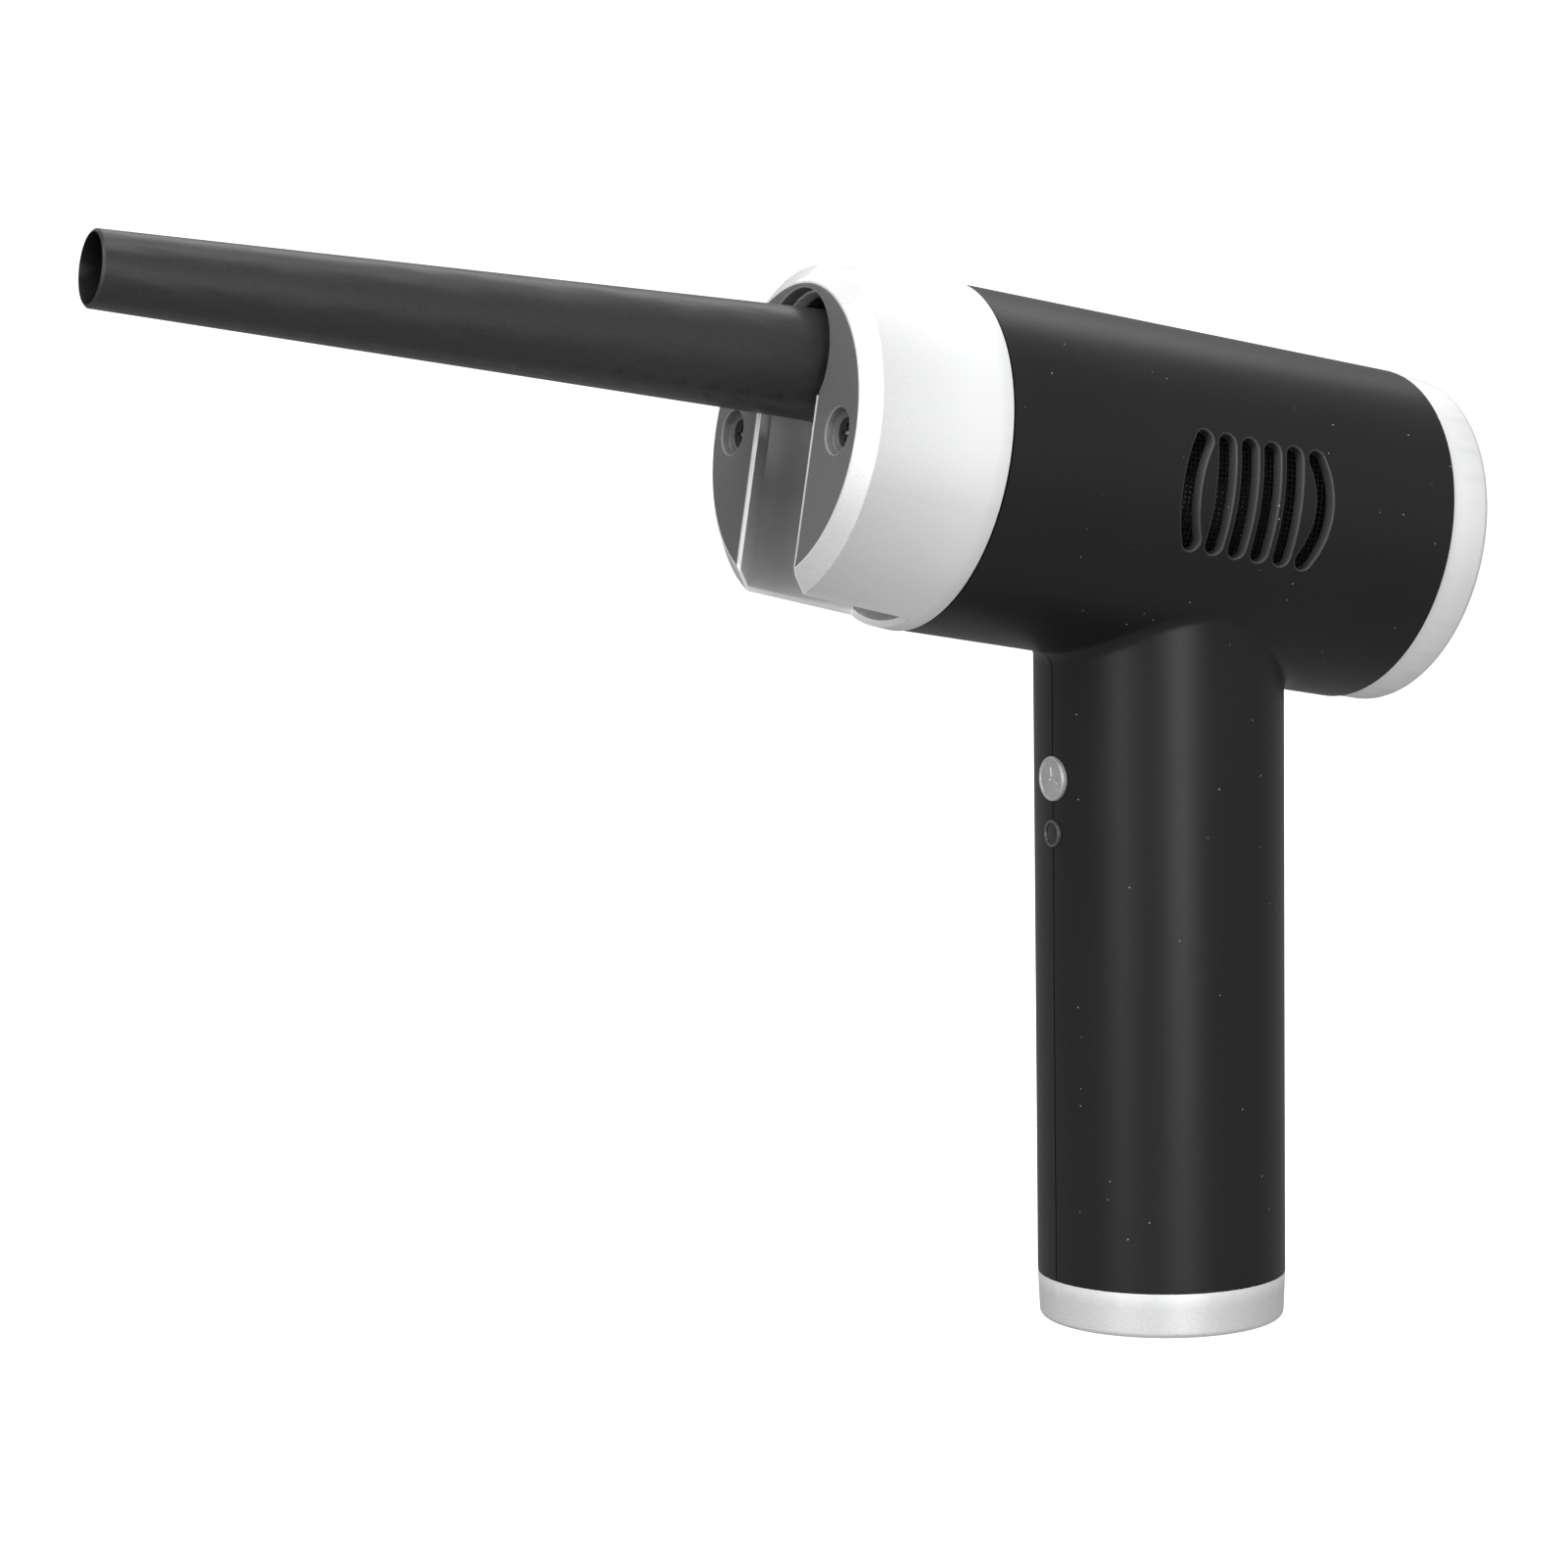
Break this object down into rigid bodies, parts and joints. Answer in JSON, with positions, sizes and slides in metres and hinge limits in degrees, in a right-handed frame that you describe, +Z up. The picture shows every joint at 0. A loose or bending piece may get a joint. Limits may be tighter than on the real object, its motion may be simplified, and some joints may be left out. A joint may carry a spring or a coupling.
{
  "type": "handheld air blower",
  "caption": "Cordless pistol-grip air blower: round barrel with side vents, silver head with a fold-down tapered nozzle, button on the handle.",
  "frame": {"origin": "centre of the handle's flat bottom face", "axes": "+Z up along the handle, +X forward the way the air blows, +Y to the left; the shell halves meet on Y = 0"},
  "size_m": [0.2505, 0.0606, 0.1918],
  "materials": {
    "shell_black": "soft matt black",
    "satin_silver": "satin silver paint",
    "plate_grey": "fine-textured grey",
    "dark_screw": "black oxide",
    "nozzle_grey": "fine-grained matt dark grey",
    "bright_steel": "bright",
    "inner_plastic": "matt",
    "seal_rubber": "matt rubber",
    "impeller_grey": "satin",
    "brass": "plain",
    "magnet": "plated",
    "motor_steel": "plated",
    "copper_wire": "enamelled",
    "screen_black": "matt",
    "board_green": "solder mask",
    "chip_black": "matt",
    "lead_red": "insulation",
    "button_silver": "satin with bright bevel",
    "plunger_ivory": "plain",
    "led_clear": "clear",
    "lens_black": "smoked",
    "cell_wrap": "shrink wrap"
  },
  "bodies": {
    "housing": {"left_shell": "shell_black", "right_shell": "shell_black", "front_head": "satin_silver", "face_plate": "plate_grey", "face_screws": "dark_screw", "rear_cap": "satin_silver", "bottom_cap": "satin_silver", "hinge_pins": "bright_steel", "hinge_carrier": "inner_plastic", "detent_spring": "bright_steel", "outlet_seal": "seal_rubber", "air_duct": "inner_plastic", "vane_ring": "inner_plastic", "motor_can": "motor_steel", "motor_coils": "copper_wire", "front_bearing": "bright_steel", "rear_bearing": "bright_steel", "motor_mount": "inner_plastic", "mount_screws": "bright_steel", "motor_cradle": "seal_rubber", "intake_screen_left": "screen_black", "intake_screen_right": "screen_black", "driver_board": "board_green", "driver_parts": "chip_black", "motor_leads": "lead_red", "tact_switch": "chip_black", "switch_board": "board_green", "status_led": "led_clear", "indicator_lens": "lens_black", "lower_cell_tray": "inner_plastic", "upper_cell_tray": "inner_plastic", "cell_rear": "cell_wrap", "cell_left": "cell_wrap", "cell_right": "cell_wrap", "cell_tabs": "bright_steel", "battery_leads": "lead_red", "charge_board": "board_green", "charge_socket": "bright_steel"},
    "nozzle": {"nozzle_tube": "nozzle_grey"},
    "rotor": {"impeller": "impeller_grey", "impeller_nut": "brass", "motor_shaft": "bright_steel", "rotor_magnet": "magnet"},
    "button": {"power_button": "button_silver", "switch_plunger": "plunger_ivory"}
  },
  "joints": [
    {"name": "nozzle_fold", "type": "hinge", "parent": "housing", "child": "nozzle", "pos_m": [0.05966, 0, 0.16937], "axis": [0, 1, 0], "range_deg": [0, 87.3]},
    {"name": "rotor_spin", "type": "hinge", "parent": "housing", "child": "rotor", "pos_m": [0, 0, 0.1467], "axis": [0.986, 0, 0.1668], "continuous": true},
    {"name": "button_press", "type": "slide", "parent": "housing", "child": "button", "axis": [-1, 0, 0], "range_m": [0, 0.0006], "stiffness_N_per_m": 600}
  ]
}
